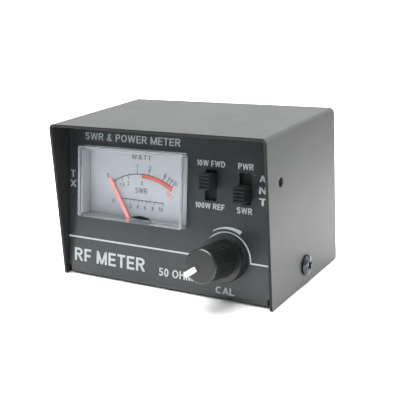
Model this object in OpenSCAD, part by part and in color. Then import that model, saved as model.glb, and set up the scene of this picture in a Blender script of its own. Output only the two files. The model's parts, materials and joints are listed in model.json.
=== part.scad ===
// Standing-wave-ratio and power meter for amateur radio: a folded steel case
// with a moving-coil meter, two slide switches, a calibration knob and two
// coaxial sockets on the rear. Millimetres. +Z up, front faces -Y, +X right.
// The origin is the centre of the cover's footprint, on the surface it stands on.

/* [Case] */
// Outside width of the cover
body_w = 100; // [98:1:104]
// Depth of the cover, front to back
body_d = 61; // [60:0.5:64]
// Outside height of the cover
body_h = 65.3; // [64:0.1:68]
// Thickness of the steel sheet
sheet_t = 1.2; // [1:0.1:1.4]
// Outside radius of the cover's top bends
bend_r = 2.2; // [1.8:0.1:3]
// How far the front panel leans back, in degrees
panel_tilt = 9.24; // [6:0.01:11]

/* [Meter] */
// How far the clear window stands out of the panel
window_proud = 3.1; // [2:0.1:4]
// Wall thickness of the clear window
window_wall = 1.2; // [1:0.1:1.5]
// Angle of the pointer at rest, left of straight up, in degrees
needle_rest = 31.5; // [28:0.5:33]
// Length of the pointer from its pivot to its tip
needle_len = 29.5; // [26:0.5:31]

/* [Controls] */
// Height of the two slide-switch slots
slot_h = 12; // [11.5:0.1:12.5]
// Width of the two slide-switch slots
slot_w = 5.3; // [5.1:0.1:5.6]
// Travel of each slide switch from the middle of its slot
slide_step = 1.85; // [1.5:0.05:1.9]
// Radius of the knob's skirt
skirt_r = 9.2; // [8.5:0.1:9.8]
// Radius of the knob's front face
cap_r = 6.5; // [6:0.1:6.8]
// Distance from the panel to the knob's front face
knob_reach = 19.2; // [17:0.1:21]
// Direction the knob's bar points, in degrees from +X, anticlockwise
knob_angle = 214; // [0:1:359]

/* [Sockets] */
// Distance of each socket's axis from the middle of the rear
socket_x = 27; // [25:0.5:30]
// Height of the sockets' axes
socket_z = 27; // [24:0.5:32]

/* [Hidden] */
$fn = 48;

// case
half_w = body_w / 2;
half_d = body_d / 2;
in_w = half_w - sheet_t;             // inner face of the cover's sides
pan_w = in_w - 0.3;                  // half width of the chassis
pan_y = -half_d + 1.26;              // front panel's face, carried down to the base
fold_r = 2;                          // outside radius of the chassis folds
fold_s = fold_r * (1 + sin(panel_tilt)) / cos(panel_tilt);
fold_y = pan_y + fold_s;             // centre of the front fold
top_z = body_h - sheet_t - 0.4;      // top edge of the chassis
pan_top = top_z / cos(panel_tilt);
rear_y = half_d - 1.3;               // outer face of the rear
tab_y0 = -12;
tab_y1 = 16;
screw_y = -0.4;
screw_z = 7.8;
hole_y = -20.2;
hole_z = 46.9;

// meter
win_x0 = -41.5;
win_x1 = 10.3;
win_s0 = 25.95;
win_s1 = 55.5;
case_s0 = 7.5;
case_s1 = win_s1 + 0.3;
case_back = -24;
case_wall = 1.5;
flange_t = 1.5;
face_o = -sheet_t - 0.05;            // front of what bears on the panel's back
flange_o = face_o - flange_t;        // back of the window's flange
piv_x = -13.1;
piv_s = 17.65;
plate_o = -3.5;                      // face of the scale plate
plate_t = 0.5;
hub_r = 10.4;                        // opening in the scale plate
stud_m = [[-44.2, 18], [-44.2, 50], [13, 18], [13, 50]];
stud_b = [[28.7, 32.2], [28.7, 56.2], [44.4, 32.2], [44.4, 56.2]];

// controls
sw_s = 44.2;
range_x = 21.25;
func_x = 36.15;
can_w = 10.4;
can_h = 21;
board_o = -8.1;
board_t = 1.6;
knob_x = 29;
knob_s = 17.1;

// sockets and coupler board
sock_r = 7.94;
cb_y = 19;
cb_t = 1.6;

module in_panel() translate([0, pan_y, 0]) rotate([90 - panel_tilt, 0, 0]) children();
module at_pivot() in_panel() translate([piv_x, piv_s, 0]) children();
module at_knob() in_panel() translate([knob_x, knob_s, 0]) children();
module at_sockets() for (sx = [-1, 1]) translate([sx * socket_x, 0, socket_z]) children();
module blk(x0, x1, y0, y1, z0, z1) translate([x0, y0, z0]) cube([x1 - x0, y1 - y0, z1 - z0]);
// block with its four edges along local Z rounded
module rblk(x0, x1, y0, y1, z0, z1, r) {
  blk(x0 + r, x1 - r, y0, y1, z0, z1);
  blk(x0, x1, y0 + r, y1 - r, z0, z1);
  for (x = [x0 + r, x1 - r], y = [y0 + r, y1 - r]) translate([x, y, z0]) cylinder(h = z1 - z0, r = r);
}
// ring or disc along local Z
module tube(r1, r0, z0, z1) difference() {
  translate([0, 0, z0]) cylinder(h = z1 - z0, r = r1);
  translate([0, 0, z0 - 1]) cylinder(h = z1 - z0 + 2, r = r0);
}
// cross recess for a screw head whose face is at z, cut downwards
module cross_cut(z, w, l, d) {
  blk(-w / 2, w / 2, -l / 2, l / 2, z - d, z + 1);
  blk(-l / 2, l / 2, -w / 2, w / 2, z - d, z + 1);
  translate([0, 0, z - d - 0.4]) cylinder(h = d + 0.4, r1 = 0.15, r2 = w * 0.95);
}
// arch with round top corners, along Y
module arch(hw, h, r, y0, y1) {
  blk(-hw, hw, y0, y1, -0, h - r);
  blk(-hw + r, hw - r, y0, y1, h - r - 1, h);
  for (s = [-1, 1]) translate([s * (hw - r), y0, h - r]) rotate([-90, 0, 0]) cylinder(h = y1 - y0, r = r);
}

// ---- case ----
module cover() color([0.13, 0.14, 0.14]) difference() {
  arch(half_w, body_h, bend_r, -half_d, half_d);
  translate([0, 0, -1]) arch(in_w, body_h - sheet_t + 1, bend_r - sheet_t, -half_d - 1, half_d + 1);
  translate([-half_w - 1, screw_y, screw_z]) rotate([0, 90, 0]) cylinder(h = body_w + 2, r = 2.25);
  translate([0, hole_y, hole_z]) rotate([0, 90, 0]) cylinder(h = half_w + 1, r = 1.8);
}

module chassis() color([0.16, 0.17, 0.17]) difference() {
  union() {
    // front panel and its fold
    in_panel() blk(-pan_w, pan_w, fold_s, pan_top, -sheet_t, 0);
    translate([-pan_w, fold_y, fold_r]) rotate([0, 90, 0]) rotate([0, 0, -90 - panel_tilt])
      rotate_extrude(angle = 90 + panel_tilt) translate([fold_r - sheet_t, 0]) square([sheet_t, 2 * pan_w]);
    // bottom, narrower where the side tabs fold up
    blk(-pan_w, pan_w, fold_y, tab_y0 - 1, 0, sheet_t);
    blk(-pan_w + fold_r, pan_w - fold_r, tab_y0 - 1.5, tab_y1 + 1.5, 0, sheet_t);
    blk(-pan_w, pan_w, tab_y1 + 1, rear_y - fold_r, 0, sheet_t);
    // side tabs that take the cover screws
    for (s = [-1, 1]) {
      blk(s > 0 ? pan_w - sheet_t : -pan_w, s > 0 ? pan_w : -pan_w + sheet_t, tab_y0, tab_y1, fold_r, 13);
      translate([s * (pan_w - fold_r), tab_y1, fold_r]) rotate([90, 0, 0]) rotate([0, 0, s > 0 ? -90 : 180])
        rotate_extrude(angle = 90) translate([fold_r - sheet_t, 0]) square([sheet_t, tab_y1 - tab_y0]);
    }
    // rear fold and rear
    translate([-pan_w, rear_y - fold_r, fold_r]) rotate([0, 90, 0])
      rotate_extrude(angle = 90) translate([fold_r - sheet_t, 0]) square([sheet_t, 2 * pan_w]);
    blk(-pan_w, pan_w, rear_y - sheet_t, rear_y, fold_r, top_z);
  }
  // corner reliefs at the two long folds
  for (s = [-1, 1], y = [-half_d - 1, rear_y - fold_r - 1.5])
    blk(s > 0 ? pan_w - 1.3 : -pan_w - 1, s > 0 ? pan_w + 1 : -pan_w + 1.3, y, y + (y < 0 ? 7 : 5), -1, 3.4);
  // meter opening, switch slots, bushing hole, locating hole, stud seats
  in_panel() rblk(win_x0 - 0.2, win_x1 + 0.2, win_s0 - 0.2, win_s1 + 0.2, -3, 1, 1);
  for (x = [range_x, func_x])
    in_panel() rblk(x - slot_w / 2, x + slot_w / 2, sw_s - slot_h / 2, sw_s + slot_h / 2, -3, 1, 0.7);
  at_knob() translate([0, 0, -3]) cylinder(h = 4, r = 3.6);
  at_knob() translate([0, -7.6, -3]) cylinder(h = 4, r = 1.2);
  for (p = concat(stud_m, stud_b)) in_panel() translate([p[0], p[1], -sheet_t - 1]) cylinder(h = 1.7, r = 1.55);
  // sockets
  at_sockets() translate([0, rear_y - 3, 0]) rotate([-90, 0, 0]) cylinder(h = 6, r = 7);
  at_sockets() for (x = [-9.1, 9.1], z = [-9.1, 9.1])
    translate([x, rear_y - 3, z]) rotate([-90, 0, 0]) cylinder(h = 6, r = 1.65);
  // edge notch that clears whatever goes through the cover's side hole
  translate([pan_w + 1, hole_y, hole_z]) rotate([0, -90, 0]) cylinder(h = 3.2, r = 2.2);
  // cover screws' threads
  translate([-half_w, screw_y, screw_z]) rotate([0, 90, 0]) cylinder(h = body_w, r = 2.05);
}

module cover_screws() color([0.11, 0.11, 0.12]) for (s = [-1, 1])
  translate([s * half_w, screw_y, screw_z]) rotate([0, s * 90, 0]) difference() {
    union() {
      translate([0, 0, 0.02]) cylinder(h = 0.7, r = 4.15);
      translate([0, 0, 0.72]) cylinder(h = 0.55, r1 = 4.15, r2 = 3.6);
      translate([0, 0, 1.27]) cylinder(h = 0.45, r1 = 3.6, r2 = 2.4);
      translate([0, 0, -6]) cylinder(h = 6.1, r = 2);
      translate([0, 0, -7]) cylinder(h = 1, r1 = 1.2, r2 = 2);
    }
    rotate([0, 0, 22]) cross_cut(1.72, 1.0, 4.3, 1.4);
  }

// ---- meter ----
module meter_window() color([0.85, 0.9, 0.93, 0.3]) in_panel() difference() {
  union() {
    rblk(win_x0, win_x1, win_s0, win_s1, flange_o, window_proud, 0.8);
    rblk(-46.6, 15.4, 5, 58.5, flange_o, face_o, 1.5);
  }
  rblk(win_x0 + window_wall, win_x1 - window_wall, win_s0 + window_wall, win_s1 - window_wall,
    flange_o - 1, window_proud - 1.3, 0.5);
  blk(win_x0 + window_wall, win_x1 - window_wall, case_s0 + case_wall, win_s1 - window_wall, flange_o - 1, face_o + 0.01);
  for (p = stud_m) translate([p[0], p[1], -6]) cylinder(h = 6, r = 1.6);
}

module meter_case() color([0.72, 0.73, 0.72]) in_panel() difference() {
  union() {
    difference() {
      rblk(win_x0 - 0.3, win_x1 + 0.3, case_s0, case_s1, case_back, flange_o - 0.02, 1.2);
      blk(win_x0 + window_wall, win_x1 - window_wall, case_s0 + case_wall, win_s1 - window_wall,
        case_back + case_wall, 0);
    }
    for (s = [-1, 1]) translate([piv_x + s * 17.5, 16.5, case_back + 1]) cylinder(h = plate_o - plate_t - 0.02 - case_back - 1, r = 2.2);
    for (x = [-37.3, 6]) translate([x, 51.6, case_back + 1]) cylinder(h = plate_o - plate_t - 0.02 - case_back - 1, r = 1.5);
    // lip that lines the window's left side
    blk(win_x0 + window_wall - 0.4, win_x0 + window_wall + 0.5, win_s0 + window_wall + 0.1, win_s1 - window_wall - 0.3, -6, flange_o - 0.02);
    blk(win_x0 + window_wall + 0.05, win_x0 + window_wall + 0.5, win_s0 + window_wall + 0.1, win_s1 - window_wall - 0.3, -6, window_proud - 1.35);
  }
  for (s = [-1, 1]) translate([piv_x + s * 17.5, 16.5, -12]) cylinder(h = 12, r = 0.85);
  for (s = [-1, 1]) translate([piv_x + s * 14, 38, case_back - 1]) cylinder(h = 4, r = 1.3);
}

module scale_plate() color([0.93, 0.93, 0.9]) in_panel() difference() {
  blk(-39.6, 8.4, 12.5, 53.7, plate_o - plate_t, plate_o);
  translate([piv_x, piv_s, -6]) cylinder(h = 6, r = hub_r, $fn = 96);
  for (s = [-1, 1]) translate([piv_x + s * 17.5, 16.5, -6]) cylinder(h = 6, r = 1);
}

module scale_screws() color([0.75, 0.73, 0.66]) in_panel()
  for (s = [-1, 1]) translate([piv_x + s * 17.5, 16.5, 0]) difference() {
    union() {
      translate([0, 0, plate_o + 0.02]) cylinder(h = 0.6, r = 1.6);
      translate([0, 0, -9.5]) cylinder(h = 6.1, r = 0.78);
    }
    blk(-2, 2, -0.2, 0.2, plate_o + 0.3, plate_o + 2);
  }

module movement_frame() color([0.62, 0.62, 0.63]) at_pivot() difference() {
  union() {
    translate([0, 0, -22.48]) cylinder(h = 1.5, r = 8.2);
    for (s = [-1, 1]) blk(-2, 2, s > 0 ? 6.6 : -8, s > 0 ? 8 : -6.6, -21.2, -18.05);
    blk(3.45, 4.2, -0.6, 0.6, -21.2, -20);
  }
  translate([0, 0, -23]) cylinder(h = 3, r = 0.95);
}

module yoke_ring() color([0.45, 0.46, 0.48]) at_pivot() tube(8.2, 6.4, -18, -9);

module magnet_core() color([0.33, 0.33, 0.35]) at_pivot() translate([0, 0, -17.5]) cylinder(h = 8, r = 4.6);

module core_webs() color([0.78, 0.64, 0.3]) at_pivot() for (s = [-1, 1])
  blk(-1.1, 1.1, s > 0 ? 4.63 : -6.15, s > 0 ? 6.15 : -4.63, -16, -11);

module front_bridge() color([0.12, 0.12, 0.13]) at_pivot() difference() {
  union() {
    rblk(-8.1, 8.1, -1.6, 1.6, -5.6, -4.8, 0.5);
    for (s = [-1, 1]) blk(s > 0 ? 6.7 : -7.9, s > 0 ? 7.9 : -6.7, -1.4, 1.4, -8.98, -5.4);
    translate([0, 0, -5.6]) cylinder(h = 0.8, r = 2.6);
  }
  translate([0, 0, -7]) cylinder(h = 3, r = 0.95);
}

module jewel_screws() color([0.8, 0.66, 0.32]) at_pivot() {
  difference() {
    union() {
      translate([0, 0, -6.35]) cylinder(h = 1.6, r = 0.9);
      translate([0, 0, -4.78]) cylinder(h = 0.5, r = 1.5);
    }
    translate([0, 0, -6.5]) cylinder(h = 0.6, r = 0.36);
    blk(-2, 2, -0.15, 0.15, -4.5, -4);
  }
  difference() {
    translate([0, 0, -22.4]) cylinder(h = 1.9, r = 0.9);
    translate([0, 0, -20.9]) cylinder(h = 1, r = 0.36);
  }
}

function spiral(n, r0, r1, turns) = [for (i = [0:n]) let (a = 360 * turns * i / n, r = r0 + (r1 - r0) * i / n) [r * cos(a), r * sin(a)]];
module hairspring(z, s) translate([0, 0, z]) scale([1, s, 1]) {
  tube(0.75, 0.38, 0, 0.2);
  linear_extrude(height = 0.2) polygon(concat(spiral(60, 0.6, 3.2, 3.0),
    [for (i = [60:-1:0]) spiral(60, 0.75, 3.35, 3.0)[i]]));
}
module hairsprings() color([0.82, 0.55, 0.3]) at_pivot() {
  hairspring(-7.45, 1);
  hairspring(-20.25, -1);
}

module pointer_stops() color([0.7, 0.7, 0.68]) at_pivot()
  for (a = [90 + needle_rest + 8.8, 90 - 34.5 - 7.2])
    rotate([0, 0, a]) translate([11.3, 0, plate_o + 0.02]) cylinder(h = 1.8, r = 0.4);

// the moving parts are drawn in the needle's own frame, its tip along +X
module at_needle() at_pivot() rotate([0, 0, 90 + needle_rest]) children();

module moving_coil() color([0.72, 0.38, 0.2]) at_needle() rotate([0, 0, 90]) difference() {
  blk(-5.9, 5.9, -1, 1, -19.6, -7.9);
  blk(-4.95, 4.95, -2, 2, -18.6, -8.9);
}

module pivot_staffs() color([0.8, 0.81, 0.83]) at_needle() {
  translate([0, 0, -7.88]) cylinder(h = 1.75, r = 0.3);
  translate([0, 0, -20.8]) cylinder(h = 1.18, r = 0.3);
}

module pointer() color([0.85, 0.25, 0.2]) at_needle() difference() {
  union() {
    translate([0, 0, -7.0]) cylinder(h = 0.3, r = 1.3);
    blk(0, 8.9, -0.6, 0.6, -7.0, -6.7);
    blk(8.6, 8.9, -0.6, 0.6, -7.0, -2.1);
    translate([0, 0, -2.4]) linear_extrude(height = 0.3)
      polygon([[8.6, -0.82], [needle_len - 1, -0.66], [needle_len, -0.2], [needle_len, 0.2], [needle_len - 1, 0.66], [8.6, 0.82]]);
    blk(-6.0, 0, -0.5, 0.5, -7.0, -6.7);
    blk(-0.4, 0.4, -5.0, 5.0, -7.0, -6.7);
  }
  translate([0, 0, -8]) cylinder(h = 3, r = 0.33);
}

module balance_weights() color([0.8, 0.66, 0.32]) at_needle() {
  difference() {
    blk(-6.1, -3.6, -1.25, 1.25, -7.8, -5.75);
    blk(-6.2, -3, -0.52, 0.52, -7.02, -6.68);
  }
  for (s = [-1, 1]) difference() {
    blk(-0.8, 0.8, s > 0 ? 3.9 : -4.7, s > 0 ? 4.7 : -3.9, -7.5, -6.2);
    blk(-0.42, 0.42, -6, 6, -7.02, -6.68);
  }
}

module meter_terminals() color([0.83, 0.8, 0.7]) in_panel() for (s = [-1, 1]) translate([piv_x + s * 14, 38, 0]) difference() {
  union() {
    translate([0, 0, case_back - 5]) cylinder(h = 7.5, r = 1.2);
    translate([0, 0, case_back + case_wall + 0.02]) cylinder(h = 1, r = 2.6);
    translate([0, 0, case_back - 0.82]) cylinder(h = 0.8, r = 2.4);
  }
  blk(-0.35, 0.35, -2, 2, case_back - 6, case_back - 3);
}

module panel_studs() color([0.7, 0.71, 0.72]) in_panel() {
  for (p = stud_m) translate([p[0], p[1], 0]) {
    translate([0, 0, -sheet_t + 0.02]) cylinder(h = 0.68, r = 1.5);
    translate([0, 0, -6.6]) cylinder(h = 5.6, r = 1.25);
  }
  for (p = stud_b) translate([p[0], p[1], 0]) {
    translate([0, 0, -sheet_t + 0.02]) cylinder(h = 0.68, r = 1.5);
    translate([0, 0, board_o - board_t - 3.2]) cylinder(h = -sheet_t - board_o + board_t + 3.4, r = 1.25);
    translate([0, 0, board_o + 0.02]) cylinder(h = -sheet_t - board_o - 0.08, r = 2.2);
  }
}

module nut(z, af, h, r) translate([0, 0, z]) difference() {
  cylinder(h = h, r = af / 2 / cos(30), $fn = 6);
  translate([0, 0, -1]) cylinder(h = h + 2, r = r);
}
module stud_nuts() color([0.78, 0.76, 0.68]) in_panel() {
  for (p = stud_m) translate([p[0], p[1], 0]) rotate([0, 0, 30]) nut(flange_o - 2.05, 4.2, 2, 1.3);
  for (p = stud_b) translate([p[0], p[1], 0]) nut(board_o - board_t - 2.05, 4.6, 2, 1.3);
}

// ---- control board and slide switches ----
module control_board() color([0.62, 0.5, 0.27]) in_panel() difference() {
  blk(15.6, 46.8, 30, 58.4, board_o - board_t, board_o);
  for (p = stud_b) translate([p[0], p[1], board_o - 3]) cylinder(h = 4, r = 1.4);
  for (x = [range_x, func_x], i = [-1, 1], j = [-1, 0, 1])
    translate([x + 2.4 * i, sw_s + 5 * j, board_o - 3]) cylinder(h = 4, r = 0.75, $fn = 24);
}

module switch_can(x) color([0.74, 0.75, 0.76]) in_panel() translate([x, sw_s, 0]) difference() {
  rblk(-can_w / 2, can_w / 2, -can_h / 2, can_h / 2, board_o + 0.1, face_o, 0.6);
  blk(-can_w / 2 + 0.45, can_w / 2 - 0.45, -can_h / 2 + 0.45, can_h / 2 - 0.45, board_o - 1, face_o - 0.45);
  blk(-slot_w / 2 - 0.15, slot_w / 2 + 0.15, -slot_h / 2 - 0.1, slot_h / 2 + 0.1, -4, 0);
}
module switch_base(x) color([0.35, 0.2, 0.1]) in_panel() translate([x, sw_s, 0]) difference() {
  blk(-can_w / 2 + 0.5, can_w / 2 - 0.5, -can_h / 2 + 0.5, can_h / 2 - 0.5, board_o + 0.1, board_o + 1.2);
  for (i = [-1, 1], j = [-1, 0, 1]) blk(2.4 * i - 0.46, 2.4 * i + 0.46, 5 * j - 0.26, 5 * j + 0.26, board_o - 1, board_o + 3);
}
module switch_contacts(x) color([0.85, 0.82, 0.72]) in_panel() translate([x, sw_s, 0])
  for (i = [-1, 1], j = [-1, 0, 1]) {
    blk(2.4 * i - 0.4, 2.4 * i + 0.4, 5 * j - 0.2, 5 * j + 0.2, board_o - board_t - 1, board_o + 1.3);
    blk(2.4 * i - 0.6, 2.4 * i + 0.6, 5 * j - 1.4, 5 * j + 1.4, board_o + 1.22, board_o + 1.5);
  }
module slider(x, d) color([0.07, 0.07, 0.08]) in_panel() translate([x, sw_s + d, 0]) {
  blk(-4.5, 4.5, -8.15, 8.15, -4.1, face_o - 0.55);
  rblk(-2.35, 2.35, -3.15, 3.15, -3, 4.9, 0.3);
  for (k = [-2:2]) translate([-2.3, k * 1.32, 0]) rotate([90, 0, 90]) linear_extrude(height = 4.6)
    polygon([[-0.38, 4.5], [0.38, 4.5], [0.22, 5.6], [-0.22, 5.6]]);
}
module clips(x, d) color([0.8, 0.6, 0.35]) in_panel() translate([x, sw_s + d, 0]) for (i = [-1, 1]) {
  blk(2.4 * i - 0.5, 2.4 * i + 0.5, -3, 3, -4.42, -4.12);
  for (j = [-1, 1]) blk(2.4 * i - 0.5, 2.4 * i + 0.5, j > 0 ? 2.7 : -3, j > 0 ? 3 : -2.7, board_o + 1.6, -4.2);
}

module range_switch_can() switch_can(range_x);
module range_switch_base() switch_base(range_x);
module range_switch_contacts() switch_contacts(range_x);
module range_slider() slider(range_x, slide_step);
module range_clips() clips(range_x, slide_step);
module function_switch_can() switch_can(func_x);
module function_switch_base() switch_base(func_x);
module function_switch_contacts() switch_contacts(func_x);
module function_slider() slider(func_x, -slide_step);
module function_clips() clips(func_x, -slide_step);

// ---- calibration potentiometer and knob ----
module pot_bushing() color([0.76, 0.74, 0.66]) at_knob() difference() {
  union() {
    translate([0, 0, -2.2]) cylinder(h = 0.9, r = 8.2);
    translate([0, 0, -2]) cylinder(h = 6.4, r = 3.5);
    translate([0, -7.6, -2]) cylinder(h = 1.7, r = 0.9);
  }
  translate([0, 0, -4]) cylinder(h = 10, r = 3.05);
}
module pot_housing() color([0.68, 0.69, 0.7]) at_knob() difference() {
  translate([0, 0, -9.6]) cylinder(h = 7.35, r = 8.2);
  translate([0, 0, -9.1]) cylinder(h = 8, r = 7.7);
  blk(-5, 5, -9, -4, -4.1, -2);
}
module pot_wafer() color([0.42, 0.26, 0.13]) at_knob() difference() {
  union() {
    translate([0, 0, -3.5]) cylinder(h = 1.2, r = 7.5);
    blk(-4.6, 4.6, -10, -4, -3.5, -2.3);
  }
  translate([0, 0, -4]) cylinder(h = 3, r = 3.3);
}
module pot_terminals() color([0.85, 0.82, 0.72]) at_knob() for (i = [-1, 0, 1]) {
  blk(3 * i - 0.8, 3 * i + 0.8, -12.6, -8.6, -4.0, -3.55);
}
module pot_washer() color([0.75, 0.75, 0.74]) at_knob() tube(6, 3.62, 0.03, 0.5);
module pot_nut() color([0.78, 0.76, 0.68]) at_knob() nut(0.53, 9.8, 2, 3.56);
module pot_shaft() color([0.8, 0.8, 0.78]) at_knob() {
  translate([0, 0, -6.4]) cylinder(h = 20.4, r = 3);
  translate([0, 0, -6.4]) cylinder(h = 1, r = 4.2);
}
module pot_wiper() color([0.8, 0.6, 0.35]) at_knob() rotate([0, 0, knob_angle]) difference() {
  union() {
    translate([0, 0, -5.2]) cylinder(h = 0.8, r = 5.4);
    blk(4.6, 6.8, -0.9, 0.9, -5.0, -4.6);
    blk(6.3, 6.8, -0.9, 0.9, -5.0, -3.62);
  }
  translate([0, 0, -6]) cylinder(h = 3, r = 3.03);
}
module cal_knob() color([0.08, 0.085, 0.085]) at_knob() difference() {
  union() {
    translate([0, 0, 0.75]) cylinder(h = 3.65, r = skirt_r, $fn = 96);
    translate([0, 0, 4.4]) cylinder(h = 0.5, r1 = skirt_r, r2 = skirt_r - 0.2, $fn = 96);
    translate([0, 0, 4.8]) cylinder(h = knob_reach - 5.2, r1 = cap_r + 0.45, r2 = cap_r, $fn = 96);
    translate([0, 0, knob_reach - 0.4]) cylinder(h = 0.4, r1 = cap_r, r2 = cap_r - 0.4, $fn = 96);
  }
  translate([0, 0, 0]) cylinder(h = 3.4, r = 6.4);
  translate([0, 0, 3]) cylinder(h = 2, r = 3.9);
  translate([0, 0, 4]) cylinder(h = 10.3, r = 3.03);
  for (a = [0:15:345]) rotate([0, 0, a]) translate([cap_r + 0.75, 0, 5.6])
    rotate([0, -1.75, 0]) cylinder(h = knob_reach - 7.2, r = 0.5, $fn = 24);
  rotate([0, 0, knob_angle]) blk(2.1, cap_r + 1, -1.03, 1.03, knob_reach - 1.4, knob_reach + 1);
}
module knob_line() color([0.95, 0.95, 0.92]) at_knob() rotate([0, 0, knob_angle])
  rblk(2.15, cap_r + 0.5, -0.98, 0.98, knob_reach - 1.38, knob_reach + 1.4, 0.35);

// ---- rear sockets ----
module socket_body(sx) color([0.78, 0.79, 0.8]) translate([sx * socket_x, rear_y, socket_z]) rotate([-90, 0, 0]) difference() {
  union() {
    rblk(-12.7, 12.7, -12.7, 12.7, 0.02, 1.6, 1);
    translate([0, 0, 1]) cylinder(h = 14.2, r = sock_r, $fn = 96);
    translate([0, 0, 15.2]) cylinder(h = 0.5, r1 = sock_r, r2 = sock_r - 0.5, $fn = 96);
  }
  translate([0, 0, -1]) cylinder(h = 8, r = 6.1);
  translate([0, 0, 6]) cylinder(h = 12, r = 6.35);
  for (x = [-9.1, 9.1], y = [-9.1, 9.1]) translate([x, y, -1]) cylinder(h = 4, r = 1.65);
  for (a = [45, 135]) rotate([0, 0, a]) blk(-9, 9, -0.8, 0.8, 14.6, 17);
}
module socket_insulator(sx) color([0.93, 0.92, 0.88]) translate([sx * socket_x, rear_y, socket_z]) rotate([-90, 0, 0]) difference() {
  translate([0, 0, -4.5]) cylinder(h = 13, r = 6.05);
  translate([0, 0, -6]) cylinder(h = 20, r = 2.6);
}
module socket_contact(sx) color([0.83, 0.7, 0.38]) translate([sx * socket_x, rear_y, socket_z]) rotate([-90, 0, 0]) difference() {
  union() {
    translate([0, 0, -5]) cylinder(h = 19, r = 2.55);
    translate([0, 0, -11.5]) cylinder(h = 7, r = 1.4);
  }
  translate([0, 0, 3]) cylinder(h = 12, r = 2.0);
  translate([0, 0, -12]) cylinder(h = 3, r = 0.9);
  for (a = [0, 90]) rotate([0, 0, a]) blk(-4, 4, -0.25, 0.25, 9.5, 15);
}
module tx_socket() socket_body(-1);
module ant_socket() socket_body(1);
module tx_insulator() socket_insulator(-1);
module ant_insulator() socket_insulator(1);
module tx_contact() socket_contact(-1);
module ant_contact() socket_contact(1);
module socket_screws() color([0.74, 0.74, 0.75]) at_sockets() for (x = [-9.1, 9.1], z = [-9.1, 9.1])
  translate([x, rear_y + 1.62, z]) rotate([-90, 0, 0]) difference() {
    union() {
      cylinder(h = 1.3, r = 2.75);
      translate([0, 0, 1.3]) cylinder(h = 0.6, r1 = 2.75, r2 = 1.9);
      translate([0, 0, -6.4]) cylinder(h = 6.6, r = 1.5);
    }
    cross_cut(1.9, 0.7, 2.9, 1);
  }
module socket_nuts() color([0.78, 0.76, 0.68]) at_sockets() for (x = [-9.1, 9.1], z = [-9.1, 9.1])
  translate([x, rear_y - sheet_t - 0.02, z]) rotate([90, 0, 0]) nut(0, 5.5, 2.3, 1.55);

// ---- coupler board ----
module coupler_board() color([0.16, 0.36, 0.2]) difference() {
  blk(-41, 41, cb_y, cb_y + cb_t, socket_z - 14, socket_z + 14);
  at_sockets() translate([0, cb_y - 1, 0]) rotate([-90, 0, 0]) cylinder(h = 5, r = 1.5);
}
module coupler_lines() color([0.8, 0.5, 0.28]) {
  difference() {
    blk(-socket_x - 2.6, socket_x + 2.6, cb_y - 0.12, cb_y - 0.02, socket_z - 1.8, socket_z + 1.8);
    at_sockets() translate([0, cb_y - 1, 0]) rotate([-90, 0, 0]) cylinder(h = 5, r = 1.5);
  }
  for (s = [-1, 1]) blk(-20, 20, cb_y - 0.12, cb_y - 0.02, socket_z + s * 4 - 0.9, socket_z + s * 4 + 0.9);
}
// a part with a round body and two bent square leads, standing on the coupler board
module axial(r, l, pitch, lead) {
  translate([-l / 2, -r - 0.6, 0]) rotate([0, 90, 0]) cylinder(h = l, r = r);
  blk(-pitch / 2, pitch / 2, -r - 0.6 - lead, -r - 0.6 + lead, -lead, lead);
  for (s = [-1, 1]) blk(s * pitch / 2 - lead, s * pitch / 2 + lead, -r - 0.6 - lead, -0.05, -lead, lead);
}
module detector_diodes() color([0.75, 0.42, 0.25]) for (s = [-1, 1])
  translate([27, cb_y, socket_z + s * 9.5]) axial(0.95, 3.8, 9, 0.25);
module coupler_resistors() color([0.62, 0.72, 0.8]) for (x = [-27, -10], s = [-1, 1])
  translate([x, cb_y, socket_z + s * 10]) axial(1.15, 6.2, 10, 0.28);
module coupler_capacitors() color([0.8, 0.5, 0.2]) for (x = [4, 13]) translate([x, cb_y, socket_z - 10]) {
  translate([0, -4.2, 0]) rotate([0, 90, 0]) cylinder(h = 1.8, r = 2.8, center = true);
  for (s = [-1, 1]) blk(-0.28, 0.28, -2.6, -0.05, s * 1.4 - 0.28, s * 1.4 + 0.28);
}
module trimmers() color([0.2, 0.35, 0.6]) for (x = [4, 14]) translate([x, cb_y, socket_z + 10]) difference() {
  union() {
    blk(-3.3, 3.3, -4, -0.3, -3.3, 3.3);
    for (s = [-1, 1]) blk(s * 2.5 - 0.3, s * 2.5 + 0.3, -0.5, -0.04, -0.3, 0.3);
  }
  translate([0, -3.2, 0]) rotate([90, 0, 0]) cylinder(h = 2, r = 2);
}

// ---- wiring ----
function unit(v) = v / norm(v);
function dir_at(p, i) = unit(i == 0 ? p[1] - p[0] : i == len(p) - 1 ? p[i] - p[i - 1] : unit(p[i + 1] - p[i]) + unit(p[i] - p[i - 1]));
function ring_at(p, i, r) = let (d = dir_at(p, i), u = unit(cross(d, [0.3, 0.2, 0.93])), v = cross(d, u))
  [for (k = [0:7]) p[i] + r * (cos(45 * k) * u + sin(45 * k) * v)];
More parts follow.
